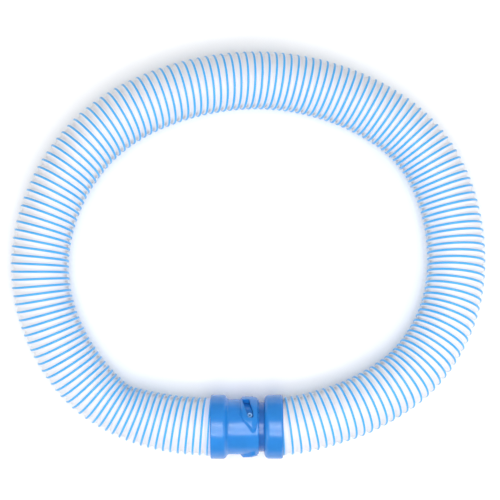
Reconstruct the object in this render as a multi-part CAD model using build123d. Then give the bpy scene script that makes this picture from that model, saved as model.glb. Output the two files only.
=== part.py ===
from build123d import *
import math
import os

# A suction hose section for a pool cleaner, lying on a floor with its two twist-lock
# cuffs coupled to each other, so that the hose closes into a loop.
# Millimetres. X runs along the coupling, from the female cuff to the male cuff, Z is up,
# and the floor is Z = 0. Along the coupling, u is measured from the female collar's outer
# face towards the male cuff, and every turned piece is drawn as (u, radius) pairs.

# Hose: outer diameter over its ribs, and the wall of the plain tube that stands for it.
HOSE_OUTER_D = 47.5
HOSE_WALL = 1.85
FLOOR_CLEARANCE = 0.05
STRAIGHT_FROM_MALE = 5.6
STRAIGHT_FROM_FEMALE = 14.6

# Both cuffs: the free bore through the coupling, and the collars' wall over the hose.
WATERWAY_D = 33.6
COLLAR_WALL = 2.1
COLLAR_EDGE_ROUND = 1.6
GLUE_GAP = 0.15
HOSE_GRIP_FEMALE = 6.0
HOSE_GRIP_MALE = 10.6

# Female cuff, a shell that turns on the swivel sleeve.
FEMALE_LENGTH = 39.3
FEMALE_COLLAR_LENGTH = 11.5
SHOULDER_LENGTH = 2.5
SHOULDER_ROUND = 3.0
SHOULDER_FOOT_ROUND = 1.8
BARREL_WALL = 2.05
SPIGOT_CLEARANCE = 0.25
MOUTH_ROUND = 1.2
MOUTH_LEAD = 0.6
TURNING_GAP = 0.35

# Raised pad round each cam slot, and the slot itself.
PAD_HEIGHT = 2.4
PAD_FRONT_HEIGHT = 1.2
PAD_LENGTH = 14.3
PAD_FROM_MOUTH = 1.0
PAD_SPREAD_DEG = 119.0
PAD_MIDDLE_PAST_PIN_DEG = 27.5
PAD_CORNER_ROUND = 2.0
PAD_RAMP_LENGTH = 2.0
PAD_CREST_ROUND = 1.0
CAM_TURN_DEG = 34.0
LOCK_TRAVEL = 3.0
SLOT_CLEARANCE = 0.35
SLOT_CORNER_ROUND = 1.2
SLOT_END_SPARE = 1.2
CHANNEL_CLEARANCE = 0.5
REST_GAP = 1.4

# Male cuff, with its spigot, and the two tubular lock pins set in it.
MALE_COLLAR_LENGTH = 15.1
MALE_SHOULDER_ROUND = 4.2
NECK_ROUND = 0.8
SPIGOT_WALL = 3.3
PIN_D = 4.3
PIN_BORE_D = 1.7
PIN_TIP_BELOW_BARREL = 0.2
PIN_FROM_MOUTH = 7.5
PIN_ANGLE_DEG = 33.0
PIN_SKIN = 0.5
PIN_HOLE_GAP = 0.02
PIN_TIP_ROUND = 0.35

# Swivel sleeve, and the snap ring that keeps the female cuff on it.
SLEEVE_TAIL_LENGTH = 14.0
SLEEVE_TAIL_WALL = 1.85
FLANGE_THICKNESS = 3.3
FLANGE_RIM_GAP = 0.5
NOSE_WALL = 2.05
NOSE_RUNNING_GAP = 0.1
FLANGE_PLAY = 0.2
WEB_THICKNESS = 5.5
RING_THICKNESS = 1.2
RING_PLAY = 0.1
RING_GROOVE_DEPTH = 0.8
RING_OPENING = 5.0
NOSE_LIP = 0.6
TIP_CLEARANCE = 0.5

# Seal rings: section, groove and the small gaps that leave the rings uncrushed here.
SPIGOT_SEAL_SECTION = 2.1
SWIVEL_SEAL_SECTION = 1.1
SPIGOT_SEAL_FROM_TIP = 4.5
SEAL_GROOVE_SLACK = 0.7
SEAL_FLOOR_GAP = 0.05

# Stations along the coupling, worked out from the sizes above.
FLANGE_END = HOSE_GRIP_FEMALE + FLANGE_THICKNESS
WEB_START = FLANGE_END + FLANGE_PLAY
WEB_END = WEB_START + WEB_THICKNESS
RING_START = WEB_END + RING_PLAY
NOSE_END = RING_START + RING_THICKNESS + RING_PLAY + NOSE_LIP
SPIGOT_TIP = NOSE_END + LOCK_TRAVEL + TIP_CLEARANCE
PIN_STATION = FEMALE_LENGTH - PIN_FROM_MOUTH
MALE_FACE = FEMALE_LENGTH + LOCK_TRAVEL + REST_GAP
MALE_END = MALE_FACE + MALE_COLLAR_LENGTH
HOSE_STOP = MALE_END - HOSE_GRIP_MALE
SLEEVE_START = HOSE_GRIP_FEMALE - SLEEVE_TAIL_LENGTH
CENTRE_STATION = (SLEEVE_START + MALE_END) / 2

# Radii, worked out from the sizes above.
HOSE_R = HOSE_OUTER_D / 2
COLLAR_R = HOSE_R + GLUE_GAP + COLLAR_WALL
WATERWAY_R = WATERWAY_D / 2
SPIGOT_R = WATERWAY_R + SPIGOT_WALL
SOCKET_R = SPIGOT_R + SPIGOT_CLEARANCE
BARREL_R = SOCKET_R + BARREL_WALL
NOSE_R = WATERWAY_R + NOSE_WALL
CUT_REACH = BARREL_R + PAD_HEIGHT + 2
HOSE_POCKET_R = HOSE_R + TURNING_GAP
PIN_TIP_R = BARREL_R - PIN_TIP_BELOW_BARREL
PIN_FOOT_R = WATERWAY_R + PIN_SKIN
AXIS_HEIGHT = COLLAR_R
LYING_HEIGHT = HOSE_R + FLOOR_CLEARANCE

# The hose's route along its centreline, from the male cuff round to the swivel sleeve.
HOSE_ROUTE = [
    (HOSE_STOP - CENTRE_STATION, 0, AXIS_HEIGHT),
    (MALE_END + STRAIGHT_FROM_MALE - CENTRE_STATION, 0, AXIS_HEIGHT),
    (66, 6, AXIS_HEIGHT - 1),
    (104, 19, LYING_HEIGHT + 0.3),
    (148, 49, LYING_HEIGHT),
    (177, 105, LYING_HEIGHT),
    (175, 176, LYING_HEIGHT),
    (147, 235, LYING_HEIGHT),
    (91, 271, LYING_HEIGHT),
    (23, 287, LYING_HEIGHT),
    (-46, 279, LYING_HEIGHT),
    (-107, 252, LYING_HEIGHT),
    (-146, 209, LYING_HEIGHT),
    (-166, 156, LYING_HEIGHT),
    (-166, 109, LYING_HEIGHT),
    (-151, 67, LYING_HEIGHT),
    (-127, 34, LYING_HEIGHT),
    (-100, 16, LYING_HEIGHT),
    (-72, 5, LYING_HEIGHT + 0.6),
    (-STRAIGHT_FROM_FEMALE - CENTRE_STATION, 0, AXIS_HEIGHT),
    (HOSE_GRIP_FEMALE - CENTRE_STATION, 0, AXIS_HEIGHT),
]

COUPLING_PLACE = Pos(-CENTRE_STATION, 0, AXIS_HEIGHT)


def turned(outline, rounds=()):
    """A solid turned about the coupling's axis from (u, radius) points.

    rounds holds (u, radius, size) for each corner of the outline that is rounded."""
    face = Face(Wire.make_polygon([(u, 0, r) for u, r in outline]))
    for u, r, size in rounds:
        corner = min(face.vertices(), key=lambda v: (v.X - u) ** 2 + (v.Z - r) ** 2)
        face = face.fillet_2d(size, [corner])
    return revolve(face, Axis.X)


def ring_of(start, end, inner_r, outer_r):
    """A plain ring between two stations and two radii."""
    return turned([(start, inner_r), (start, outer_r), (end, outer_r), (end, inner_r)])


def at_angle(solid, degrees):
    """Turns a solid about the coupling's axis, from straight up towards +Y."""
    return Rot(X=-degrees) * solid


def slot_half_width():
    return PIN_D / 2 + SLOT_CLEARANCE


def slot_middle_deg():
    """The angle of the middle of the pin's travel, where the slot is centred."""
    return PIN_ANGLE_DEG + CAM_TURN_DEG / 2


def pad_middle_deg():
    """The angle of the pad's middle, which lies past the slot's own middle."""
    return PIN_ANGLE_DEG + PAD_MIDDLE_PAST_PIN_DEG


def pin_reach_across():
    """How far, across the slot's middle, the pin's centre lies at each end of its travel."""
    return PIN_TIP_R * math.sin(math.radians(CAM_TURN_DEG / 2))


def slot_cutter():
    """The cam slot's outline, cut straight down through the pad and the barrel.

    Its edges follow the pin's slanting way, with a wider pocket where the pin locks."""
    reach = pin_reach_across()
    end = reach + slot_half_width()
    middle = PIN_STATION - LOCK_TRAVEL / 2

    def edge(across, side, spare):
        on_way = middle - LOCK_TRAVEL / 2 * across / reach
        return (on_way + side * (slot_half_width() + spare), across)

    outline = [
        edge(-end - SLOT_END_SPARE, -1, -0.2),
        edge(-0.25 * reach, -1, 0.2),
        edge(0.6 * reach, -1, 0.4),
        edge(end, -1, 0.2),
        edge(end, 1, 0.6),
        edge(0.35 * reach, 1, 0.1),
        edge(0.1 * reach, 1, 0.25),
        edge(-0.5 * reach, 1, 0.5),
        edge(-end - SLOT_END_SPARE, 1, -0.2),
    ]
    face = Face(Wire.make_polygon([(u, across, 0) for u, across in outline]))
    corners = [v for v in face.vertices() if abs(v.Y) > end - 0.01]
    face = face.fillet_2d(SLOT_CORNER_ROUND, corners)
    return at_angle(extrude(face, amount=CUT_REACH, dir=(0, 0, 1)), slot_middle_deg())


def pad_outline():
    """The pad's leaf-shaped outline, seen square on: full width along the slot, and
    drawn in to a blunt tip at each end."""
    rear = FEMALE_LENGTH - PAD_FROM_MOUTH - PAD_LENGTH
    front = FEMALE_LENGTH - PAD_FROM_MOUTH
    tip = (BARREL_R + PAD_HEIGHT / 2) * math.sin(math.radians(PAD_SPREAD_DEG / 2))
    half = [
        (rear, 0.52 * tip),
        (rear + 0.2 * PAD_LENGTH, 0.76 * tip),
        (rear + 0.66 * PAD_LENGTH, tip),
        (rear + 0.86 * PAD_LENGTH, tip),
        (front, 0.72 * tip),
    ]
    return half + [(u, -across) for u, across in reversed(half)]


def cam_pad():
    """One raised pad, standing on the barrel."""
    rear = FEMALE_LENGTH - PAD_FROM_MOUTH - PAD_LENGTH
    front = FEMALE_LENGTH - PAD_FROM_MOUTH
    crest = rear + PAD_RAMP_LENGTH
    band = turned([
        (rear, SOCKET_R),
        (rear, BARREL_R + 0.3),
        (crest, BARREL_R + PAD_HEIGHT),
        (rear + 0.66 * PAD_LENGTH, BARREL_R + PAD_HEIGHT),
        (front - 0.4, BARREL_R + PAD_FRONT_HEIGHT),
        (front, BARREL_R + PAD_FRONT_HEIGHT - 0.6),
        (front, SOCKET_R),
    ], [(crest, BARREL_R + PAD_HEIGHT, PAD_CREST_ROUND)])
    face = Face(Wire.make_polygon([(u, across, 0) for u, across in pad_outline()]))
    face = face.fillet_2d(PAD_CORNER_ROUND, face.vertices())
    leaf = at_angle(extrude(face, amount=CUT_REACH, dir=(0, 0, 1)), pad_middle_deg())
    return band & leaf


def entry_channel():
    """The blind way along which a pin slides in from the mouth, under the pad's roof."""
    width = PIN_D + 2 * CHANNEL_CLEARANCE
    depth = PIN_TIP_R + SLOT_CLEARANCE
    length = PIN_FROM_MOUTH + 1.0
    way = Box(length, width, depth, align=(Align.MIN, Align.CENTER, Align.MIN))
    return at_angle(Pos(PIN_STATION, 0, 0) * way, PIN_ANGLE_DEG)


def female_cuff():
    collar_end = FEMALE_COLLAR_LENGTH
    shoulder_end = collar_end + SHOULDER_LENGTH
    body = turned([
        (0, HOSE_POCKET_R),
        (0, COLLAR_R),
        (collar_end, COLLAR_R),
        (shoulder_end, BARREL_R),
        (FEMALE_LENGTH, BARREL_R),
        (FEMALE_LENGTH, SOCKET_R),
        (WEB_END, SOCKET_R),
        (WEB_END, NOSE_R + NOSE_RUNNING_GAP),
        (WEB_START, NOSE_R + NOSE_RUNNING_GAP),
        (WEB_START, HOSE_POCKET_R),
    ], [
        (0, COLLAR_R, COLLAR_EDGE_ROUND / 2),
        (collar_end, COLLAR_R, SHOULDER_ROUND),
        (shoulder_end, BARREL_R, SHOULDER_FOOT_ROUND),
        (FEMALE_LENGTH, BARREL_R, MOUTH_ROUND),
        (FEMALE_LENGTH, SOCKET_R, MOUTH_LEAD),
    ])
    bore = ring_of(WEB_END, FEMALE_LENGTH + 1, 0, SOCKET_R)
    for turn in (0, 180):
        body += at_angle(cam_pad() - bore, turn)
    for turn in (0, 180):
        body -= at_angle(slot_cutter() + entry_channel(), turn)
    return body


def male_cuff():
    shoulder_step = COLLAR_R - SPIGOT_R - NECK_ROUND
    body = turned([
        (SPIGOT_TIP, WATERWAY_R),
        (SPIGOT_TIP, SPIGOT_R),
        (MALE_FACE, SPIGOT_R),
        (MALE_FACE, COLLAR_R),
        (MALE_END, COLLAR_R),
        (MALE_END, HOSE_R + GLUE_GAP),
        (HOSE_STOP, HOSE_R + GLUE_GAP),
        (HOSE_STOP, WATERWAY_R),
    ], [
        (SPIGOT_TIP, SPIGOT_R, NECK_ROUND),
        (MALE_FACE, SPIGOT_R, NECK_ROUND),
        (MALE_FACE, COLLAR_R, min(MALE_SHOULDER_ROUND, 0.9 * shoulder_step)),
        (MALE_END, COLLAR_R, COLLAR_EDGE_ROUND),
    ])
    body -= seal_groove(spigot_seal_station(), SPIGOT_R, SPIGOT_SEAL_SECTION)
    hole = Cylinder(PIN_D / 2 + PIN_HOLE_GAP, COLLAR_R, align=(Align.CENTER, Align.CENTER, Align.MIN))
    for turn in (0, 180):
        body -= at_angle(Pos(PIN_STATION, 0, PIN_FOOT_R) * hole, PIN_ANGLE_DEG + turn)
    return body


def lock_pin(turn):
    """One hollow pin, pressed into a blind hole in the spigot."""
    length = PIN_TIP_R - PIN_FOOT_R
    upright = (Align.CENTER, Align.CENTER, Align.MIN)
    pin = Cylinder(PIN_D / 2, length, align=upright)
    pin = fillet(pin.edges().sort_by(Axis.Z)[-1], PIN_TIP_ROUND)
    pin -= Cylinder(PIN_BORE_D / 2, length, align=upright)
    return at_angle(Pos(PIN_STATION, 0, PIN_FOOT_R) * pin, PIN_ANGLE_DEG + turn)


def swivel_sleeve():
    tail_r = HOSE_R - HOSE_WALL - GLUE_GAP
    tail_bore = tail_r - SLEEVE_TAIL_WALL
    body = turned([
        (SLEEVE_START, tail_bore),
        (SLEEVE_START, tail_r),
        (HOSE_GRIP_FEMALE, tail_r),
        (HOSE_GRIP_FEMALE, HOSE_POCKET_R - FLANGE_RIM_GAP),
        (FLANGE_END, HOSE_POCKET_R - FLANGE_RIM_GAP),
        (FLANGE_END, NOSE_R),
        (NOSE_END, NOSE_R),
        (NOSE_END, WATERWAY_R),
        (FLANGE_END, WATERWAY_R),
        (HOSE_GRIP_FEMALE, tail_bore),
    ])
    body -= seal_groove(swivel_seal_station(), NOSE_R, SWIVEL_SEAL_SECTION)
    ring_end = RING_START + RING_THICKNESS + RING_PLAY
    return body - ring_of(RING_START, ring_end, NOSE_R - RING_GROOVE_DEPTH, NOSE_R + 1)


def snap_ring():
    """The split ring in the sleeve's nose groove, behind the female cuff's web."""
    inner_r = NOSE_R - RING_GROOVE_DEPTH + SEAL_FLOOR_GAP
    ring = ring_of(RING_START, RING_START + RING_THICKNESS, inner_r, SOCKET_R - TURNING_GAP)
    gap = Box(4 * RING_THICKNESS, RING_OPENING, COLLAR_R, align=(Align.CENTER, Align.CENTER, Align.MAX))
    return ring - Pos(RING_START, 0, 0) * gap


def spigot_seal_station():
    return SPIGOT_TIP + SPIGOT_SEAL_FROM_TIP


def swivel_seal_station():
    return (WEB_START + WEB_END) / 2


def seal_floor_r(shaft_r, section):
    """A seal's groove floor, deep enough for the ring to lie in it uncrushed."""
    return shaft_r - section


def seal_groove(station, shaft_r, section):
    half = (section + SEAL_GROOVE_SLACK) / 2
    return ring_of(station - half, station + half, seal_floor_r(shaft_r, section), shaft_r + 1)


def seal_ring(station, shaft_r, section):
    middle_r = seal_floor_r(shaft_r, section) + SEAL_FLOOR_GAP + section / 2
    return Pos(station, 0, 0) * Rot(Y=90) * Torus(middle_r, section / 2)


def route_radii():
    """Each corner's arc: 0.45 of the shorter run beside it over the half turn's tangent."""
    points = [Vector(*p) for p in HOSE_ROUTE]
    radii = []
    for before, corner, after in zip(points, points[1:], points[2:]):
        shorter = min((corner - before).length, (after - corner).length)
        turn = math.radians((corner - before).get_angle(after - corner))
        radii.append(0.45 * shorter / math.tan(turn / 2))
    return radii


def hose():
    """The hose as a plain tube of straight runs and tangent arcs."""
    radii = route_radii()
    print("hose radii", [round(r) for r in radii])
    path = FilletPolyline(*HOSE_ROUTE, radius=radii)
    start = Plane(origin=path @ 0, z_dir=path % 0)
    section = Circle(HOSE_R) - Circle(HOSE_R - HOSE_WALL)
    tube = sweep(start * section, path=path)
    expected = section.area * path.length
    print("hose length", round(path.length, 1), "volume over section times length",
          round(tube.volume / expected, 5))
    return tube


def build():
    coupling = {
        "female_cuff": female_cuff(),
        "male_cuff": male_cuff(),
        "swivel_sleeve": swivel_sleeve(),
        "snap_ring": snap_ring(),
        "swivel_seal": seal_ring(swivel_seal_station(), NOSE_R, SWIVEL_SEAL_SECTION),
        "spigot_seal": seal_ring(spigot_seal_station(), SPIGOT_R, SPIGOT_SEAL_SECTION),
        "lock_pin_front": lock_pin(0),
        "lock_pin_rear": lock_pin(180),
    }
    parts = {name: COUPLING_PLACE * solid for name, solid in coupling.items()}
    parts["hose"] = hose()
    return parts


os.makedirs("parts", exist_ok=True)
for node, shape in build().items():
    export_step(shape, f"parts/{node}.step")
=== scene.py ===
"""Looks of a ribbed suction hose section whose twist-lock cuffs are coupled into a loop.

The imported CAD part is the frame. The cuffs, pins, sleeve, ring and seals keep their CAD shape
and get their finish here. The plain hose tube is replaced by a corrugated wall and the blue
rib that winds round it, both made by geometry nodes along the hose's route.
Everything is in metres, in the frame's own axes: +X along the coupling, +Z up.
"""

import math

import bmesh
import bpy
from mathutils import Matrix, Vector


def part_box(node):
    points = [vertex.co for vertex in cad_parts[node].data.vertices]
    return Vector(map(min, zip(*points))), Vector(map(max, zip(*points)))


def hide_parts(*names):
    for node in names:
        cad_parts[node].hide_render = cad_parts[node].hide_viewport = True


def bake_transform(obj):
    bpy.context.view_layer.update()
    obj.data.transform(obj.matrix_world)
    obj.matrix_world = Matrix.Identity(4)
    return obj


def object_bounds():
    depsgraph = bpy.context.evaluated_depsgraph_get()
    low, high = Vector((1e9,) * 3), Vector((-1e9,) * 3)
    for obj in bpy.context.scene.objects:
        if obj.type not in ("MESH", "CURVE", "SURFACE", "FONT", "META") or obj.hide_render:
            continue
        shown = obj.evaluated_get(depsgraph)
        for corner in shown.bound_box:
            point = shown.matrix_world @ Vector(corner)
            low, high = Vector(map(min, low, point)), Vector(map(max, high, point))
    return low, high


bl_info = {
    "name": "Ribbed hose section",
    "version": (1, 0, 0),
    "blender": (4, 5, 0),
    "location": "View3D > Sidebar > Hose",
    "description": "Builds a ribbed suction hose with twist-lock cuffs round its CAD frame",
    "category": "Object",
}

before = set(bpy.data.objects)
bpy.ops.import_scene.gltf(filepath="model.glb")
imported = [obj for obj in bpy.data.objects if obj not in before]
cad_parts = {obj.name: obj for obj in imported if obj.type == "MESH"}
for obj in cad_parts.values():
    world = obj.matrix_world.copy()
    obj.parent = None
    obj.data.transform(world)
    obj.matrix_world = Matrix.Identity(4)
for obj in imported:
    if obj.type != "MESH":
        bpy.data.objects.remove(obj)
CAD_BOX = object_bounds()

MM = 0.001
FEMALE_LOW, FEMALE_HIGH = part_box("female_cuff")
MALE_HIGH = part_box("male_cuff")[1]
HOSE_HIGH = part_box("hose")[1]
AXIS_Z = (FEMALE_LOW.z + FEMALE_HIGH.z) / 2
MALE_COLLAR_LENGTH = 15.1 * MM

# How far the blue bead stands out of the wall's crest.
RIB_STANDS_OUT = 0.35 * MM

# The camera looks straight down, at a point a little off the middle of the loop's box.
TARGET_SIDE = 1.5 * MM
TARGET_BACK = 3.8 * MM

# The hose's route, in metres: the points of the CAD tube, as a spline's control points. It runs
# from inside the male cuff, round the loop, and back to the swivel sleeve.
LYING_Z = 0.0238
HOSE_ROUTE = [
    (0.0228, 0.0, AXIS_Z),
    (0.039, 0.0, AXIS_Z),
    (0.066, 0.006, AXIS_Z - 0.001),
    (0.104, 0.019, LYING_Z + 0.0003),
    (0.148, 0.049, LYING_Z),
    (0.177, 0.105, LYING_Z),
    (0.175, 0.176, LYING_Z),
    (0.147, 0.235, LYING_Z),
    (0.091, 0.271, LYING_Z),
    (0.023, 0.287, LYING_Z),
    (-0.046, 0.279, LYING_Z),
    (-0.107, 0.252, LYING_Z),
    (-0.146, 0.209, LYING_Z),
    (-0.166, 0.156, LYING_Z),
    (-0.166, 0.109, LYING_Z),
    (-0.151, 0.067, LYING_Z),
    (-0.127, 0.034, LYING_Z),
    (-0.100, 0.016, LYING_Z),
    (-0.072, 0.005, LYING_Z + 0.0006),
    (-0.040, 0.0, AXIS_Z),
    (-0.0194, 0.0, AXIS_Z),
]


# ---------------------------------------------------------------- small helpers


def linear(hex_colour):
    """An sRGB hex colour, such as #3e8ce4, as the linear colour that shaders take."""
    parts = [int(hex_colour[i:i + 2], 16) / 255 for i in (1, 3, 5)]
    curve = [c / 12.92 if c <= 0.04045 else ((c + 0.055) / 1.055) ** 2.4 for c in parts]
    return (*curve, 1.0)


MATH = "ShaderNodeMath"
VECTOR = "ShaderNodeVectorMath"

# The Mix node's own numbers for its two colours and its result.
COLOUR_A = 6
COLOUR_B = 7
COLOUR_OUT = 2


def add(tree, kind, links=None, **settings):
    """Adds a node, sets its properties, and fills its inputs.

    An input takes a plain value, another node's socket, or a node, for its first output."""
    node = tree.nodes.new(kind)
    for name, value in settings.items():
        setattr(node, name, value)
    for name, value in (links or {}).items():
        if isinstance(value, bpy.types.Node):
            value = value.outputs[0]
        if isinstance(value, bpy.types.NodeSocket):
            tree.links.new(value, node.inputs[name])
        else:
            node.inputs[name].default_value = value
    return node


def new_material(name, finish):
    """A material with only a Principled shader and its output; finish holds its plain values."""
    material = bpy.data.materials.new(name)
    material.use_nodes = True
    tree = material.node_tree
    tree.nodes.clear()
    shader = add(tree, "ShaderNodeBsdfPrincipled", finish)
    add(tree, "ShaderNodeOutputMaterial", {"Surface": shader})
    return material, tree, shader


def paint(obj, material):
    obj.data.materials.clear()
    obj.data.materials.append(material)


def made_by_nodes(obj, tree, values, name):
    """The plain mesh that a node tree makes from obj; values are the tree's named inputs."""
    modifier = obj.modifiers.new(tree.name, "NODES")
    modifier.node_group = tree
    for item in tree.interface.items_tree:
        if item.item_type == "SOCKET" and item.in_out == "INPUT" and item.name in values:
            modifier[item.identifier] = values[item.name]
    bpy.context.view_layer.update()
    evaluated = obj.evaluated_get(bpy.context.evaluated_depsgraph_get())
    mesh = bpy.data.meshes.new_from_object(evaluated)
    obj.modifiers.remove(modifier)
    piece = bpy.data.objects.new(name, mesh)
    bpy.context.scene.collection.objects.link(piece)
    return piece


# ---------------------------------------------------------------- the user's sizes


class HoseSizes(bpy.types.PropertyGroup):
    """Sizes and colours of the hose."""

    turns: bpy.props.IntProperty(
        name="Rib turns", description="Turns of the rib from end to end", default=168, min=10)
    sides: bpy.props.IntProperty(
        name="Sides", description="Faces round one turn", default=48, min=12)
    across: bpy.props.IntProperty(
        name="Faces per rib", description="Faces along one pitch of the wall", default=8, min=4)
    rib_width: bpy.props.FloatProperty(
        name="Rib width", description="Width of the blue bead", default=1.9 * MM, subtype="DISTANCE")
    groove_depth: bpy.props.FloatProperty(
        name="Groove depth", description="From the wall's crest to its root", default=1.9 * MM,
        subtype="DISTANCE")
    wall: bpy.props.FloatProperty(
        name="Wall", description="Wall thickness at the root", default=1.2 * MM, subtype="DISTANCE")
    pitch_spread: bpy.props.FloatProperty(
        name="Pitch spread", description="How far the pitch varies round the loop", default=0.055)
    pitch_wave: bpy.props.FloatProperty(
        name="Pitch wave", description="Share of the length from one close stretch to the next",
        default=0.58, min=0.1)
    lean: bpy.props.FloatProperty(
        name="Lean", description="How far the ribs lean over, forwards then back round the loop",
        default=0.21, subtype="ANGLE")
    kink_at: bpy.props.FloatProperty(
        name="Kink at", description="Share of the length where the inner side has buckled",
        default=0.912)
    kink_reach: bpy.props.FloatProperty(
        name="Kink reach", description="Share of the length that the buckle works on, each way",
        default=0.05)
    kink_depth: bpy.props.FloatProperty(
        name="Kink depth", description="How far the inner side is pressed in", default=6.0 * MM,
        subtype="DISTANCE")
    kink_pull: bpy.props.FloatProperty(
        name="Kink pull", description="Strength of the crowding; ribs move up to half of this",
        default=4.0 * MM, subtype="DISTANCE")
    smooth_end: bpy.props.FloatProperty(
        name="Smooth end", description="Turns without a groove where the hose goes into a cuff",
        default=1.9)
    wall_colour: bpy.props.StringProperty(
        name="Wall colour", description="sRGB hex colour of the wall", default="#f6f5f8")
    rib_colour: bpy.props.StringProperty(
        name="Rib colour", description="sRGB hex colour of the rib", default="#4fb8f6")


class CuffFinish(bpy.types.PropertyGroup):
    """Colours of the cuffs and the small pieces in them."""

    cuff_colour: bpy.props.StringProperty(
        name="Cuff colour", description="sRGB hex colour of both cuffs", default="#2382d4")
    pin_colour: bpy.props.StringProperty(
        name="Pin colour", description="sRGB hex colour of the lock pins", default="#8cc4ff")
    roughness: bpy.props.FloatProperty(
        name="Roughness", description="Gloss of the moulded cuffs", default=0.22, min=0.0, max=1.0)


class StageSettings(bpy.types.PropertyGroup):
    """The camera's distance and lens."""

    distance: bpy.props.FloatProperty(
        name="Distance", description="Camera to the loop's middle", default=1.0255,
        subtype="DISTANCE")
    lens: bpy.props.FloatProperty(
        name="Lens", description="Focal length on a 36 mm sensor", default=90.0,
        subtype="DISTANCE_CAMERA")



# ---------------------------------------------------------------- materials


POLYETHYLENE_IOR = 1.51

# Scales of the noise patterns, in cells to the metre.
CLOUDS_ON_CUFF = 60.0  # about 17 mm across
SINK_MARKS = 110.0  # about 9 mm
GRAIN = 900.0  # about 1 mm
CLOUDS_ON_WALL = 90.0  # about 11 mm
CLOUDS_ON_RIB = 55.0  # about 18 mm
BLOOM_ON_RUBBER = 200.0  # 5 mm
CLOUDS_ON_FLOOR = 2.0  # 500 mm

# How a moulded colour and its gloss vary over a piece.
DARKEST, LIGHTEST = 0.82, 1.14
GLOSSIER, DULLER = -0.05, 0.08

# How strongly the neck's shade and the folds' shade darken what they lie on.
NECK_SHADE = 0.55
FOLD_SHADE = 0.65


def toned(colour, share):
    """A linear colour, darker or lighter by a share."""
    return (*(min(1.0, share * part) for part in colour[:3]), 1.0)


def band_in_shade(tree, where, colour, start, end):
    """The colour, made darker between two places along X."""
    along = add(tree, "ShaderNodeSeparateXYZ", {"Vector": where}).outputs["X"]
    past_start = add(tree, MATH, {0: along, 1: start}, operation="GREATER_THAN")
    before_end = add(tree, MATH, {0: along, 1: end}, operation="LESS_THAN")
    inside = add(tree, MATH, {0: past_start, 1: before_end}, operation="MULTIPLY")
    amount = add(tree, MATH, {0: inside, 1: NECK_SHADE}, operation="MULTIPLY")
    band = add(tree, "ShaderNodeMix", {
        "Factor": amount, COLOUR_A: colour, COLOUR_B: linear("#1a4f9c")}, data_type="RGBA")
    return band.outputs[COLOUR_OUT]


def moulded_polyethylene(name, hex_colour, roughness, in_shade=None):
    """Injection-moulded polyethylene: an even, slightly waxy colour with soft, broad highlights.

    Sink marks waver the highlights, a faint grain breaks them up, and the edges look rounded.
    in_shade gives the two places along X between which the colour is darker, for the deep shade
    of the gap between the cuffs."""
    material, tree, shader = new_material(name, {
        "IOR": POLYETHYLENE_IOR, "Subsurface Weight": 0.15,
        "Subsurface Radius": (0.2, 0.5, 1.0), "Subsurface Scale": 1.5 * MM})
    where = add(tree, "ShaderNodeTexCoord").outputs["Object"]
    cloud = add(tree, "ShaderNodeTexNoise", {
        "Vector": where, "Scale": CLOUDS_ON_CUFF, "Detail": 3.0})
    tone = linear(hex_colour)
    colour = add(tree, "ShaderNodeMix", {
        "Factor": cloud, COLOUR_A: toned(tone, DARKEST), COLOUR_B: toned(tone, LIGHTEST)},
        data_type="RGBA").outputs[COLOUR_OUT]
    if in_shade:
        colour = band_in_shade(tree, where, colour, *in_shade)
    tree.links.new(colour, shader.inputs["Base Color"])
    gloss = add(tree, "ShaderNodeMapRange", {
        "Value": cloud, "To Min": roughness + GLOSSIER, "To Max": roughness + DULLER})
    tree.links.new(gloss.outputs[0], shader.inputs["Roughness"])
    edges = add(tree, "ShaderNodeBevel", {"Radius": 1.2 * MM}, samples=6)
    sink = add(tree, "ShaderNodeTexNoise", {
        "Vector": where, "Scale": SINK_MARKS, "Detail": 1.0})
    marks = add(tree, "ShaderNodeBump", {
        "Height": sink, "Strength": 0.5, "Distance": 0.35 * MM, "Normal": edges})
    grain = add(tree, "ShaderNodeTexNoise", {
        "Vector": where, "Scale": GRAIN, "Detail": 2.0})
    bump = add(tree, "ShaderNodeBump", {
        "Height": grain, "Strength": 0.05, "Distance": 0.1 * MM, "Normal": marks})
    tree.links.new(bump.outputs[0], shader.inputs["Normal"])
    return material


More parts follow.
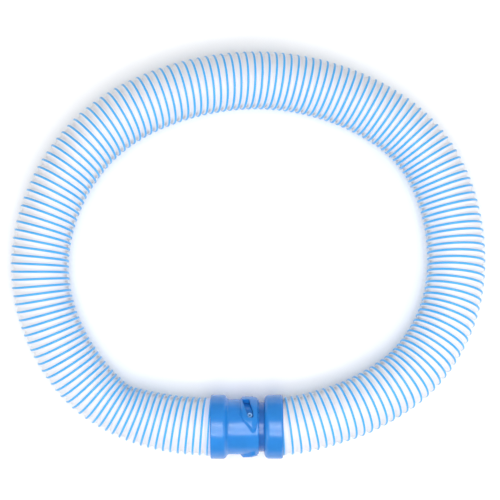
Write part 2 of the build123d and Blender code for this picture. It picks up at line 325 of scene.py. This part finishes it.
def extruded_wall(hex_colour):
    """Thin extruded white polyethylene: bright and milky, with painted shade making it a little
    greyer down in the grooves.

    Painted shade darkens the folds on the loop's inner side, and a painted blue reflection of the
    cuffs tints the ends."""
    material, tree, shader = new_material("white_extruded_polyethylene", {
        "Roughness": 0.38, "IOR": POLYETHYLENE_IOR, "Subsurface Weight": 0.2,
        "Subsurface Radius": (1.0, 1.0, 1.0), "Subsurface Scale": 1.0 * MM})
    depth = add(tree, "ShaderNodeAttribute", attribute_name="groove").outputs["Fac"]
    fold = add(tree, "ShaderNodeAttribute", attribute_name="fold").outputs["Fac"]
    painted_cuff_reflection = add(tree, "ShaderNodeAttribute", attribute_name="painted_cuff_reflection").outputs["Fac"]
    where = add(tree, "ShaderNodeTexCoord").outputs["Object"]
    cloud = add(tree, "ShaderNodeTexNoise", {
        "Vector": where, "Scale": CLOUDS_ON_WALL, "Detail": 4.0})
    # Painted shade: deep in the grooves the wall is mixed towards grey, on top of a random tone.
    deep = add(tree, MATH, {0: depth, 1: 0.6}, operation="MULTIPLY")
    shade = add(tree, MATH, {0: cloud, 1: 0.25, 2: deep}, operation="MULTIPLY_ADD")
    with_groove_shade = add(tree, "ShaderNodeMix", {
        "Factor": shade, COLOUR_A: linear(hex_colour), COLOUR_B: linear("#e2e1e6")},
        data_type="RGBA", clamp_factor=True)
    # Painted shade in the folds on the loop's inner side.
    painted_fold_shade = add(tree, MATH, {0: fold, 1: FOLD_SHADE}, operation="MULTIPLY")
    with_fold_shade = add(tree, "ShaderNodeMix", {
        "Factor": painted_fold_shade, COLOUR_A: with_groove_shade.outputs[COLOUR_OUT], COLOUR_B: linear("#85858c")},
        data_type="RGBA")
    # Painted reflection: the wall's ends are tinted with the blue of the cuffs beside them.
    with_cuff_reflection = add(tree, "ShaderNodeMix", {
        "Factor": painted_cuff_reflection, COLOUR_A: with_fold_shade.outputs[COLOUR_OUT], COLOUR_B: linear("#cbd6f5")},
        data_type="RGBA")
    tree.links.new(with_cuff_reflection.outputs[COLOUR_OUT], shader.inputs["Base Color"])
    return material


def rib_bead(hex_colour):
    """The rib's coextruded blue bead: bright, glossy and faintly uneven in tone along its run."""
    material, tree, shader = new_material("blue_coextruded_polyethylene", {
        "Roughness": 0.3, "IOR": POLYETHYLENE_IOR})
    where = add(tree, "ShaderNodeTexCoord").outputs["Object"]
    cloud = add(tree, "ShaderNodeTexNoise", {
        "Vector": where, "Scale": CLOUDS_ON_RIB, "Detail": 3.0})
    colour = add(tree, "ShaderNodeMix", {
        "Factor": cloud, COLOUR_A: linear("#3ba6ef"), COLOUR_B: linear(hex_colour)},
        data_type="RGBA")
    tree.links.new(colour.outputs[COLOUR_OUT], shader.inputs["Base Color"])
    return material


def black_rubber():
    """Moulded nitrile rubber: near black and dull."""
    material, tree, shader = new_material("black_nitrile_rubber", {"Base Color": linear("#1c1c1e")})
    where = add(tree, "ShaderNodeTexCoord").outputs["Object"]
    bloom = add(tree, "ShaderNodeTexNoise", {
        "Vector": where, "Scale": BLOOM_ON_RUBBER, "Detail": 3.0})
    gloss = add(tree, "ShaderNodeMapRange", {"Value": bloom, "To Min": 0.45, "To Max": 0.65})
    tree.links.new(gloss.outputs[0], shader.inputs["Roughness"])
    return material


def pale_floor():
    """Matt white paint on a board, nearly without texture."""
    material, tree, shader = new_material("matt_white_board", {"Roughness": 0.9})
    where = add(tree, "ShaderNodeTexCoord").outputs["Object"]
    cloud = add(tree, "ShaderNodeTexNoise", {
        "Vector": where, "Scale": CLOUDS_ON_FLOOR, "Detail": 2.0})
    colour = add(tree, "ShaderNodeMix", {
        "Factor": cloud, COLOUR_A: linear("#fbfbfb"), COLOUR_B: linear("#ffffff")},
        data_type="RGBA")
    tree.links.new(colour.outputs[COLOUR_OUT], shader.inputs["Base Color"])
    return material


# ---------------------------------------------------------------- hose


def route_curve():
    """The hose's centreline: one open spline with the route's points as its control points."""
    curve = bpy.data.curves.new("hose_line", "CURVE")
    curve.dimensions = "3D"
    curve.resolution_u = 16
    spline = curve.splines.new("NURBS")
    spline.points.add(len(HOSE_ROUTE) - 1)
    for point, place in zip(spline.points, HOSE_ROUTE):
        point.co = (*place, 1.0)
    spline.order_u = 3
    spline.use_endpoint_u = True
    line = bpy.data.objects.new("hose_line", curve)
    bpy.context.scene.collection.objects.link(line)
    return line


def line_points(line):
    """The route's smooth line as a list of points."""
    mesh = bpy.data.meshes.new_from_object(line)
    points = [vertex.co.copy() for vertex in mesh.vertices]
    bpy.data.meshes.remove(mesh)
    return points


def named_inputs(tree, sizes):
    """Adds the tree's named inputs after its geometry, and gives their sockets by name."""
    tree.interface.new_socket("Geometry", in_out="INPUT", socket_type="NodeSocketGeometry")
    for name, kind in sizes.items():
        tree.interface.new_socket(name, in_out="INPUT", socket_type=kind)
    tree.interface.new_socket("Geometry", in_out="OUTPUT", socket_type="NodeSocketGeometry")
    sockets = add(tree, "NodeGroupInput").outputs
    return {name: sockets[name] for name in ["Geometry", *sizes]}


HOSE_INPUTS = {
    "Turns": "NodeSocketInt",
    "Sides": "NodeSocketInt",
    "Across": "NodeSocketInt",
    "Radius": "NodeSocketFloat",
    "Groove depth": "NodeSocketFloat",
    "Bead radius": "NodeSocketFloat",
    "Pitch spread": "NodeSocketFloat",
    "Pitch wave": "NodeSocketFloat",
    "Lean": "NodeSocketFloat",
    "Kink at": "NodeSocketFloat",
    "Kink reach": "NodeSocketFloat",
    "Kink depth": "NodeSocketFloat",
    "Kink pull": "NodeSocketFloat",
    "Smooth end": "NodeSocketFloat",
    "Material": "NodeSocketMaterial",
}

# The ribs lean one way along the loop's right side and the other way along its left. The wave
# starts before the hose does, and the cuffs hold both ends of the hose square.
LEAN_START = -0.10
LEAN_WAVE = 0.90
SQUARE_START = (0.0, 0.10)
SQUARE_END = (0.95, 0.84)

# How the kink's dent falls off: 1 makes a sharp corner, 2 a round hollow.
KINK_SHARPNESS = 1.3

# Where the rib begins, as a share of a turn counted from the loop's outer side.
RIB_START = 0.59

# Just outside the male cuff the ribs slant, because the hose bends away from it at once.
SLANT = 0.08
SLANT_RISE = (0.0, 0.012)
SLANT_FALL = (0.10, 0.03)

# The kink works on the loop's inner side and dies out just past the hose's top and bottom.
INNER_SLOPE = -0.85
INNER_OFFSET = 0.15
INNER_POWER = 2.0

# How fast the kink's dent and its crowding die out along the hose, and which way the ribs move.
DENT_FALL = -2.3
CROWD_FALL = -4.0
CROWD_SCALE = -2.4

# A power under 1 makes the wall's roots broad and its crests narrow.
GROOVE_POWER = 0.8

# Turns over which the groove fades, on each side of where the smooth end stops.
END_FADE = 0.3

# The folds' painted shade lies deep in the groove and on the innermost strip of the loop.
FOLD_POWER = 2.0
FOLD_EASE = (0.90, 1.0)

WELD_DISTANCE = 0.01 * MM

# How far from the end of the route a rim's edges can lie.
RIM_REACH = 0.03


def window(tree, value, rise, fall):
    """1 between two easings and 0 outside; each is given as where it is 0 and where it is 1."""
    risen = add(tree, "ShaderNodeMapRange", {
        "Value": value, "From Min": rise[0], "From Max": rise[1]},
        interpolation_type="SMOOTHSTEP")
    not_fallen = add(tree, "ShaderNodeMapRange", {
        "Value": value, "From Min": fall[0], "From Max": fall[1]},
        interpolation_type="SMOOTHSTEP")
    return add(tree, MATH, {0: risen, 1: not_fallen}, operation="MULTIPLY")


def share_along(tree, given, turn):
    """How far along the hose a turn of the rib lies, as a share of its length.

    The turns are closer together where the loop squeezes them, most of all a quarter of a wave
    before the middle. The wave of close and wide stretches moves neither end."""
    share = add(tree, MATH, {0: turn, 1: given["Turns"]}, operation="DIVIDE")
    closest = add(tree, MATH, {0: given["Pitch wave"], 1: -0.25, 2: 0.5}, operation="MULTIPLY_ADD")
    wave_angle = add(tree, MATH, {0: math.tau, 1: given["Pitch wave"]}, operation="DIVIDE")
    past_closest = add(tree, MATH, {0: share, 1: closest}, operation="SUBTRACT")
    phase = add(tree, MATH, {0: past_closest, 1: wave_angle}, operation="MULTIPLY")
    first_phase = add(tree, MATH, {0: closest, 1: wave_angle}, operation="MULTIPLY")
    first = add(tree, MATH, {0: first_phase}, operation="SINE")
    here = add(tree, MATH, {0: phase}, operation="SINE")
    swing = add(tree, MATH, {0: here, 1: first}, operation="ADD")
    size = add(tree, MATH, {0: given["Pitch spread"], 1: wave_angle}, operation="DIVIDE")
    swing = add(tree, MATH, {0: swing, 1: size}, operation="MULTIPLY")
    return add(tree, MATH, {0: share, 1: swing}, operation="SUBTRACT")


def rib_lean(tree, given, along):
    """The angle by which the ribs lean at a share of the length."""
    past_start = add(tree, MATH, {0: along, 1: LEAN_START}, operation="SUBTRACT")
    waves = add(tree, MATH, {0: past_start, 1: LEAN_WAVE}, operation="DIVIDE")
    phase = add(tree, MATH, {0: waves, 1: math.tau}, operation="MULTIPLY")
    swing = add(tree, MATH, {0: phase}, operation="SINE")
    lean = add(tree, MATH, {0: swing, 1: given["Lean"]}, operation="MULTIPLY")
    held = window(tree, along, SQUARE_START, SQUARE_END)
    return add(tree, MATH, {0: lean, 1: held}, operation="MULTIPLY")


def rib_slant(tree, along, across):
    """The angle by which the ribs slant just outside the male cuff."""
    near_cuff = window(tree, along, SLANT_RISE, SLANT_FALL)
    slant = add(tree, MATH, {0: near_cuff, 1: SLANT}, operation="MULTIPLY")
    return add(tree, MATH, {0: slant, 1: across}, operation="MULTIPLY")


def angle_round(tree, winding):
    """The angle round the hose, from the loop's outer side upwards."""
    started = add(tree, MATH, {0: winding, 1: RIB_START}, operation="ADD")
    turned = add(tree, MATH, {0: started}, operation="FRACT")
    return add(tree, MATH, {0: turned, 1: math.tau}, operation="MULTIPLY")


def kink(tree, given, along, across):
    """How far the kink presses the wall in, and how far it moves the ribs along the hose.

    across is 1 on the loop's outer side and -1 on its inner side."""
    tilt = add(tree, MATH, {0: across, 1: INNER_SLOPE, 2: INNER_OFFSET}, operation="MULTIPLY_ADD")
    side = add(tree, MATH, {0: tilt, 1: 0.0}, operation="MAXIMUM")
    inner = add(tree, MATH, {0: side, 1: INNER_POWER}, operation="POWER")
    past_kink = add(tree, MATH, {0: along, 1: given["Kink at"]}, operation="SUBTRACT")
    away = add(tree, MATH, {0: past_kink, 1: given["Kink reach"]}, operation="DIVIDE")

    distance = add(tree, MATH, {0: away}, operation="ABSOLUTE")
    fall = add(tree, MATH, {0: distance, 1: KINK_SHARPNESS}, operation="POWER")
    fall = add(tree, MATH, {0: fall, 1: DENT_FALL}, operation="MULTIPLY")
    dent = add(tree, MATH, {0: fall}, operation="EXPONENT")
    dent = add(tree, MATH, {0: dent, 1: inner}, operation="MULTIPLY")
    dent = add(tree, MATH, {0: dent, 1: given["Kink depth"]}, operation="MULTIPLY")

    squared = add(tree, MATH, {0: away, 1: away}, operation="MULTIPLY")
    faded = add(tree, MATH, {0: squared, 1: CROWD_FALL}, operation="MULTIPLY")
    nearness = add(tree, MATH, {0: faded}, operation="EXPONENT")
    pull = add(tree, MATH, {0: away, 1: nearness}, operation="MULTIPLY")
    pull = add(tree, MATH, {0: pull, 1: CROWD_SCALE}, operation="MULTIPLY")
    pull = add(tree, MATH, {0: pull, 1: inner}, operation="MULTIPLY")
    pull = add(tree, MATH, {0: pull, 1: given["Kink pull"]}, operation="MULTIPLY")
    return dent, pull


def place_on_hose(tree, given, turn, winding, radius):
    """The point at a distance out from the centreline.

    turn counts the rib's turns along the hose and winding the turns round it; the rib lies
    where both are equal. On the inner side of the loop, at the kink, the wall is pressed in
    and the ribs on both sides crowd towards it."""
    along = share_along(tree, given, turn)
    angle = angle_round(tree, winding)
    across = add(tree, MATH, {0: angle}, operation="COSINE")
    height = add(tree, MATH, {0: angle}, operation="SINE")
    sample = add(tree, "GeometryNodeSampleCurve", {
        "Curves": given["Geometry"], "Factor": along}, mode="FACTOR", use_all_curves=True)
    heading = sample.outputs["Tangent"]
    sideways = add(tree, VECTOR, {0: heading, 1: (0, 0, 1)}, operation="CROSS_PRODUCT")
    side = add(tree, VECTOR, {0: sideways}, operation="NORMALIZE")
    up = add(tree, VECTOR, {0: side, 1: heading}, operation="CROSS_PRODUCT")
    out_side = add(tree, VECTOR, {0: side, "Scale": across}, operation="SCALE")
    out_up = add(tree, VECTOR, {0: up, "Scale": height}, operation="SCALE")
    out = add(tree, VECTOR, {0: out_side, 1: out_up}, operation="ADD")

    dent, pull = kink(tree, given, along, across)
    reach = add(tree, MATH, {0: radius, 1: dent}, operation="SUBTRACT")
    leant = add(tree, MATH, {0: rib_lean(tree, given, along), 1: height}, operation="MULTIPLY")
    shift = add(tree, MATH, {0: leant, 1: reach}, operation="MULTIPLY")
    pulled = add(tree, MATH, {0: shift, 1: pull}, operation="ADD")
    slant = rib_slant(tree, along, across)
    shift = add(tree, MATH, {0: slant, 1: reach, 2: pulled}, operation="MULTIPLY_ADD")

    forward = add(tree, VECTOR, {0: heading, "Scale": shift}, operation="SCALE")
    centre = add(tree, VECTOR, {0: sample.outputs["Position"], 1: forward}, operation="ADD")
    outward = add(tree, VECTOR, {0: out, "Scale": reach}, operation="SCALE")
    return add(tree, VECTOR, {0: centre, 1: outward}, operation="ADD")


def row_and_column(tree, columns):
    """The row and the column of each point of a grid, from the point's index."""
    index = add(tree, "GeometryNodeInputIndex")
    past_index = add(tree, MATH, {0: index, 1: 0.5}, operation="ADD")
    rows = add(tree, MATH, {0: past_index, 1: columns}, operation="DIVIDE")
    row = add(tree, MATH, {0: rows}, operation="FLOOR")
    before_row = add(tree, MATH, {0: row, 1: columns}, operation="MULTIPLY")
    column = add(tree, MATH, {0: index, 1: before_row}, operation="SUBTRACT")
    return row, column


def keep_values(tree, geometry, values):
    """Keeps values on the geometry's points under their names, for its material to read."""
    for name, value in values.items():
        geometry = add(tree, "GeometryNodeStoreNamedAttribute", {
            "Geometry": geometry, "Name": name, "Value": value},
            data_type="FLOAT", domain="POINT")
    return geometry


def wall_tree():
    """A strip wound round the route, one pitch wide, whose edges meet into a corrugated tube."""
    tree = bpy.data.node_groups.new("corrugated wall", "GeometryNodeTree")
    given = named_inputs(tree, HOSE_INPUTS)
    wraps = add(tree, MATH, {0: given["Turns"], 1: 1.0}, operation="ADD")
    rows = add(tree, MATH, {0: wraps, 1: given["Sides"], 2: 1.0}, operation="MULTIPLY_ADD")
    columns = add(tree, MATH, {0: given["Across"], 1: 1.0}, operation="ADD")
    grid = add(tree, "GeometryNodeMeshGrid", {"Vertices X": rows, "Vertices Y": columns})
    row, column = row_and_column(tree, columns)
    winding = add(tree, MATH, {0: row, 1: given["Sides"]}, operation="DIVIDE")
    pitches = add(tree, MATH, {0: column, 1: given["Across"]}, operation="DIVIDE")
    behind = add(tree, MATH, {0: pitches, 1: 1.0}, operation="SUBTRACT")
    turn = add(tree, MATH, {0: winding, 1: behind}, operation="ADD")
    turn = add(tree, MATH, {0: turn, 1: 0.0}, operation="MAXIMUM")
    turn = add(tree, MATH, {0: turn, 1: given["Turns"]}, operation="MINIMUM")

    from_rib = add(tree, MATH, {0: turn, 1: winding}, operation="SUBTRACT")
    phase = add(tree, MATH, {0: from_rib, 1: math.tau}, operation="MULTIPLY")
    wave = add(tree, MATH, {0: phase}, operation="COSINE")
    groove = add(tree, MATH, {0: wave, 1: -0.5, 2: 0.5}, operation="MULTIPLY_ADD")
    groove = add(tree, MATH, {0: groove, 1: GROOVE_POWER}, operation="POWER")
    turns_left = add(tree, MATH, {0: given["Turns"], 1: turn}, operation="SUBTRACT")
    to_end = add(tree, MATH, {0: turn, 1: turns_left}, operation="MINIMUM")
    past_smooth = add(tree, MATH, {0: to_end, 1: given["Smooth end"]}, operation="SUBTRACT")
    grooved = add(tree, "ShaderNodeMapRange", {
        "Value": past_smooth, "From Min": -END_FADE, "From Max": END_FADE},
        interpolation_type="SMOOTHSTEP")
    groove = add(tree, MATH, {0: groove, 1: grooved}, operation="MULTIPLY")
    sunk = add(tree, MATH, {0: groove, 1: given["Groove depth"]}, operation="MULTIPLY")
    radius = add(tree, MATH, {0: given["Radius"], 1: sunk}, operation="SUBTRACT")
    moved = add(tree, "GeometryNodeSetPosition", {
        "Geometry": grid, "Position": place_on_hose(tree, given, turn, winding, radius)})

    # Painted blue reflection of the cuffs, where the groove fades into the smooth ends.
    painted_cuff_reflection = add(tree, MATH, {0: 1.0, 1: grooved}, operation="SUBTRACT")
    # The folds' painted shade: deep in the groove, on the loop's innermost strip.
    across = add(tree, MATH, {0: angle_round(tree, winding)}, operation="COSINE")
    inwards = add(tree, MATH, {0: across, 1: -1.0}, operation="MULTIPLY")
    innermost = add(tree, "ShaderNodeMapRange", {
        "Value": inwards, "From Min": FOLD_EASE[0], "From Max": FOLD_EASE[1]},
        interpolation_type="SMOOTHSTEP")
    deep = add(tree, MATH, {0: groove, 1: FOLD_POWER}, operation="POWER")
    fold = add(tree, MATH, {0: deep, 1: innermost}, operation="MULTIPLY")
    kept = keep_values(tree, moved, {"groove": groove, "painted_cuff_reflection": painted_cuff_reflection, "fold": fold})
    welded = add(tree, "GeometryNodeMergeByDistance", {"Geometry": kept, "Distance": WELD_DISTANCE})
    finish_tree(tree, given, welded)
    return tree


def rib_tree():
    """The blue bead: a round section along a helix that follows the wall's crest."""
    tree = bpy.data.node_groups.new("rib bead", "GeometryNodeTree")
    given = named_inputs(tree, HOSE_INPUTS)
    count = add(tree, MATH, {0: given["Turns"], 1: given["Sides"], 2: 1.0},
                operation="MULTIPLY_ADD")
    straight = add(tree, "GeometryNodeCurvePrimitiveLine")
    points = add(tree, "GeometryNodeResampleCurve", {"Curve": straight, "Count": count})
    index = add(tree, "GeometryNodeInputIndex")
    turn = add(tree, MATH, {0: index, 1: given["Sides"]}, operation="DIVIDE")
    moved = add(tree, "GeometryNodeSetPosition", {
        "Geometry": points, "Position": place_on_hose(tree, given, turn, turn, given["Radius"])})
    section = add(tree, "GeometryNodeCurvePrimitiveCircle", {
        "Resolution": given["Across"], "Radius": given["Bead radius"]})
    bead = add(tree, "GeometryNodeCurveToMesh", {
        "Curve": moved, "Profile Curve": section, "Fill Caps": True})
    finish_tree(tree, given, bead)
    return tree


def bore_tree():
    """The wall's smooth inside: one ring of points for each turn, pressed in with the wall."""
    tree = bpy.data.node_groups.new("smooth bore", "GeometryNodeTree")
    given = named_inputs(tree, HOSE_INPUTS)
    rings = add(tree, MATH, {0: given["Turns"], 1: 1.0}, operation="ADD")
    columns = add(tree, MATH, {0: given["Sides"], 1: 1.0}, operation="ADD")
    grid = add(tree, "GeometryNodeMeshGrid", {"Vertices X": rings, "Vertices Y": columns})
    ring, column = row_and_column(tree, columns)
    winding = add(tree, MATH, {0: column, 1: given["Sides"]}, operation="DIVIDE")
    moved = add(tree, "GeometryNodeSetPosition", {
        "Geometry": grid,
        "Position": place_on_hose(tree, given, ring, winding, given["Radius"])})
    # The whole bore takes the wall's painted groove shade.
    kept = keep_values(tree, moved, {"groove": 1.0})
    welded = add(tree, "GeometryNodeMergeByDistance", {"Geometry": kept, "Distance": WELD_DISTANCE})
    finish_tree(tree, given, welded)
    return tree


def finish_tree(tree, given, geometry):
    """Shades the geometry smooth, makes its instances real and sets its material."""
    smooth = add(tree, "GeometryNodeSetShadeSmooth", {"Geometry": geometry})
    real = add(tree, "GeometryNodeRealizeInstances", {"Geometry": smooth})
    painted = add(tree, "GeometryNodeSetMaterial", {
        "Geometry": real, "Material": given["Material"]})
    add(tree, "NodeGroupOutput", {"Geometry": painted})


def join_bore(wall, bore, ends):
    """Joins the smooth bore to the corrugated wall at both ends, so that they are one shell."""
    shell = bmesh.new()
    shell.from_mesh(wall.data)
    shell.from_mesh(bore.data)
    for end in ends:
        rims = [e for e in shell.edges if e.is_boundary and (e.verts[0].co - end).length < RIM_REACH]
        bmesh.ops.bridge_loops(shell, edges=rims)
    bmesh.ops.recalc_face_normals(shell, faces=shell.faces)
    for face in shell.faces:
        face.smooth = True
    shell.to_mesh(wall.data)
    shell.free()
    bpy.data.objects.remove(bore)


class HOSE_OT_ribbed_hose(bpy.types.Operator):
    """Makes the hose's corrugated wall and its blue rib along the route"""

    bl_idname = "hose.ribbed_hose"
    bl_label = "Ribbed hose"

    def execute(self, context):
        sizes = context.scene.hose_sizes
        hose_radius = HOSE_HIGH.z - AXIS_Z
        bead_radius = sizes.rib_width / 2
        line = route_curve()
        points = line_points(line)
        values = {
            "Turns": sizes.turns, "Sides": sizes.sides, "Across": sizes.across,
            "Groove depth": sizes.groove_depth, "Bead radius": bead_radius,
            "Pitch spread": sizes.pitch_spread, "Pitch wave": sizes.pitch_wave,
            "Lean": sizes.lean, "Kink at": sizes.kink_at, "Kink reach": sizes.kink_reach,
            "Kink depth": sizes.kink_depth, "Kink pull": sizes.kink_pull,
            "Smooth end": sizes.smooth_end,
        }
        crest = hose_radius - RIB_STANDS_OUT
        white = extruded_wall(sizes.wall_colour)
        wall = made_by_nodes(line, wall_tree(), {
            **values, "Radius": crest, "Material": white}, "hose_wall")
        bore_radius = crest - sizes.groove_depth - sizes.wall
        bore = made_by_nodes(line, bore_tree(), {
            **values, "Radius": bore_radius, "Material": white}, "hose_bore")
        rib = made_by_nodes(line, rib_tree(), {
            **values, "Radius": hose_radius - bead_radius,
            "Material": rib_bead(sizes.rib_colour)}, "hose_rib")
        join_bore(wall, bore, (points[0], points[-1]))
        bpy.data.objects.remove(line)
        for piece in (wall, rib):
            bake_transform(piece)
        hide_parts("hose")
        return {"FINISHED"}


# ---------------------------------------------------------------- cuffs and fittings


# The neck's shade keeps this far from the faces of both cuffs.
NECK_MARGIN = 0.1 * MM

# The sleeve and the snap ring are this much duller than the cuffs.
FITTING_DULLER = 0.1


class HOSE_OT_cuffs(bpy.types.Operator):
    """Finishes both cuffs in glossy moulded plastic"""

    bl_idname = "hose.cuffs"
    bl_label = "Cuffs"

    def execute(self, context):
        finish = context.scene.cuff_finish
        neck = (FEMALE_HIGH.x + NECK_MARGIN, MALE_HIGH.x - MALE_COLLAR_LENGTH - NECK_MARGIN)
        plastic = moulded_polyethylene(
            "blue_moulded_polyethylene", finish.cuff_colour, finish.roughness, in_shade=neck)
        for name in ("female_cuff", "male_cuff"):
            paint(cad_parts[name], plastic)
        return {"FINISHED"}


class HOSE_OT_fittings(bpy.types.Operator):
    """Finishes the pins, sleeve, snap ring and seals"""

    bl_idname = "hose.fittings"
    bl_label = "Fittings"

    def execute(self, context):
        finish = context.scene.cuff_finish
        light_blue = moulded_polyethylene("light_blue_acetal", finish.pin_colour, finish.roughness)
        white = moulded_polyethylene("white_acetal", "#eceef2", finish.roughness + FITTING_DULLER)
        rubber = black_rubber()
        materials = {
            "lock_pin_front": light_blue, "lock_pin_rear": light_blue,
            "swivel_sleeve": white, "snap_ring": white,
            "swivel_seal": rubber, "spigot_seal": rubber,
        }
        for name, material in materials.items():
            paint(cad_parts[name], material)
        return {"FINISHED"}


# ---------------------------------------------------------------- stage


FLOOR_REACH = 3.0
SENSOR_WIDTH = 36.0
ROOM_LIGHT = 0.42

# The softboxes: name, place, size and power. The two narrow ones add brighter bands to the
# highlights.
OVERHEAD = Vector((0.05, 0.02, 1.2))
SOFTBOXES = (
    ("overhead_softbox", OVERHEAD, (0.70, 1.00), 8.4),
    ("softbox_rim", OVERHEAD + Vector((0, -0.42, 0)), (0.70, 0.05), 1.2),
    ("softbox_rim", OVERHEAD + Vector((0, 0.16, 0)), (0.70, 0.05), 1.2),
    ("left_softbox", (-1.0, -0.45, 0.6), (0.75, 0.75), 3.2),
    ("right_softbox", (1.0, -0.15, 0.68), (0.75, 0.85), 3.2),
)


def softbox(name, place, size, power, target):
    """A rectangular lamp that faces the target."""
    light = bpy.data.lights.new(name, "AREA")
    light.shape = "RECTANGLE"
    light.size, light.size_y = size
    light.energy = power
    lamp = bpy.data.objects.new(name, light)
    lamp.location = place
    lamp.rotation_euler = (Vector(place) - Vector(target)).to_track_quat("Z", "Y").to_euler()
    bpy.context.scene.collection.objects.link(lamp)


class HOSE_OT_stage(bpy.types.Operator):
    """Sets out the floor, the lights and the camera"""

    bl_idname = "hose.stage"
    bl_label = "Stage"

    def execute(self, context):
        scene = context.scene
        stage = scene.stage_settings
        low, high = (Vector(corner) for corner in CAD_BOX)
        target = (low + high) / 2 + Vector((TARGET_SIDE, TARGET_BACK, 0))

        floor_mesh = bpy.data.meshes.new("floor")
        corners = [(x * FLOOR_REACH, y * FLOOR_REACH, 0)
                   for x, y in ((-1, -1), (1, -1), (1, 1), (-1, 1))]
        floor_mesh.from_pydata(corners, [], [(0, 1, 2, 3)])
        floor = bpy.data.objects.new("floor", floor_mesh)
        scene.collection.objects.link(floor)
        paint(floor, pale_floor())

        camera_data = bpy.data.cameras.new("camera")
        camera_data.lens = stage.lens
        camera_data.sensor_width = SENSOR_WIDTH
        camera = bpy.data.objects.new("camera", camera_data)
        camera.location = target + Vector((0, 0, stage.distance))
        scene.collection.objects.link(camera)
        scene.camera = camera

        for name, place, size, power in SOFTBOXES:
            softbox(name, place, size, power, target)
        world = bpy.data.worlds.new("studio")
        world.use_nodes = True
        background = world.node_tree.nodes["Background"]
        background.inputs["Color"].default_value = (1.0, 1.0, 1.0, 1.0)
        background.inputs["Strength"].default_value = ROOM_LIGHT
        scene.world = world
        scene.view_settings.view_transform = "Standard"
        return {"FINISHED"}


class HOSE_PT_panel(bpy.types.Panel):
    """The steps that build the hose, in order"""

    bl_label = "Ribbed hose section"
    bl_idname = "HOSE_PT_panel"
    bl_space_type = "VIEW_3D"
    bl_region_type = "UI"
    bl_category = "Hose"

    def draw(self, context):
        for step in STEPS:
            self.layout.operator(step.bl_idname)


STEPS = (HOSE_OT_stage, HOSE_OT_ribbed_hose, HOSE_OT_cuffs, HOSE_OT_fittings)
SETTINGS = {"hose_sizes": HoseSizes, "cuff_finish": CuffFinish, "stage_settings": StageSettings}


def register():
    for kind in (*SETTINGS.values(), *STEPS, HOSE_PT_panel):
        bpy.utils.register_class(kind)
    for name, kind in SETTINGS.items():
        setattr(bpy.types.Scene, name, bpy.props.PointerProperty(type=kind))


def unregister():
    for name in SETTINGS:
        delattr(bpy.types.Scene, name)
    for kind in reversed((*SETTINGS.values(), *STEPS, HOSE_PT_panel)):
        bpy.utils.unregister_class(kind)


def main():
    register()
    bpy.ops.hose.stage()
    bpy.ops.hose.ribbed_hose()
    bpy.ops.hose.cuffs()
    bpy.ops.hose.fittings()


if __name__ == "__main__":
    main()
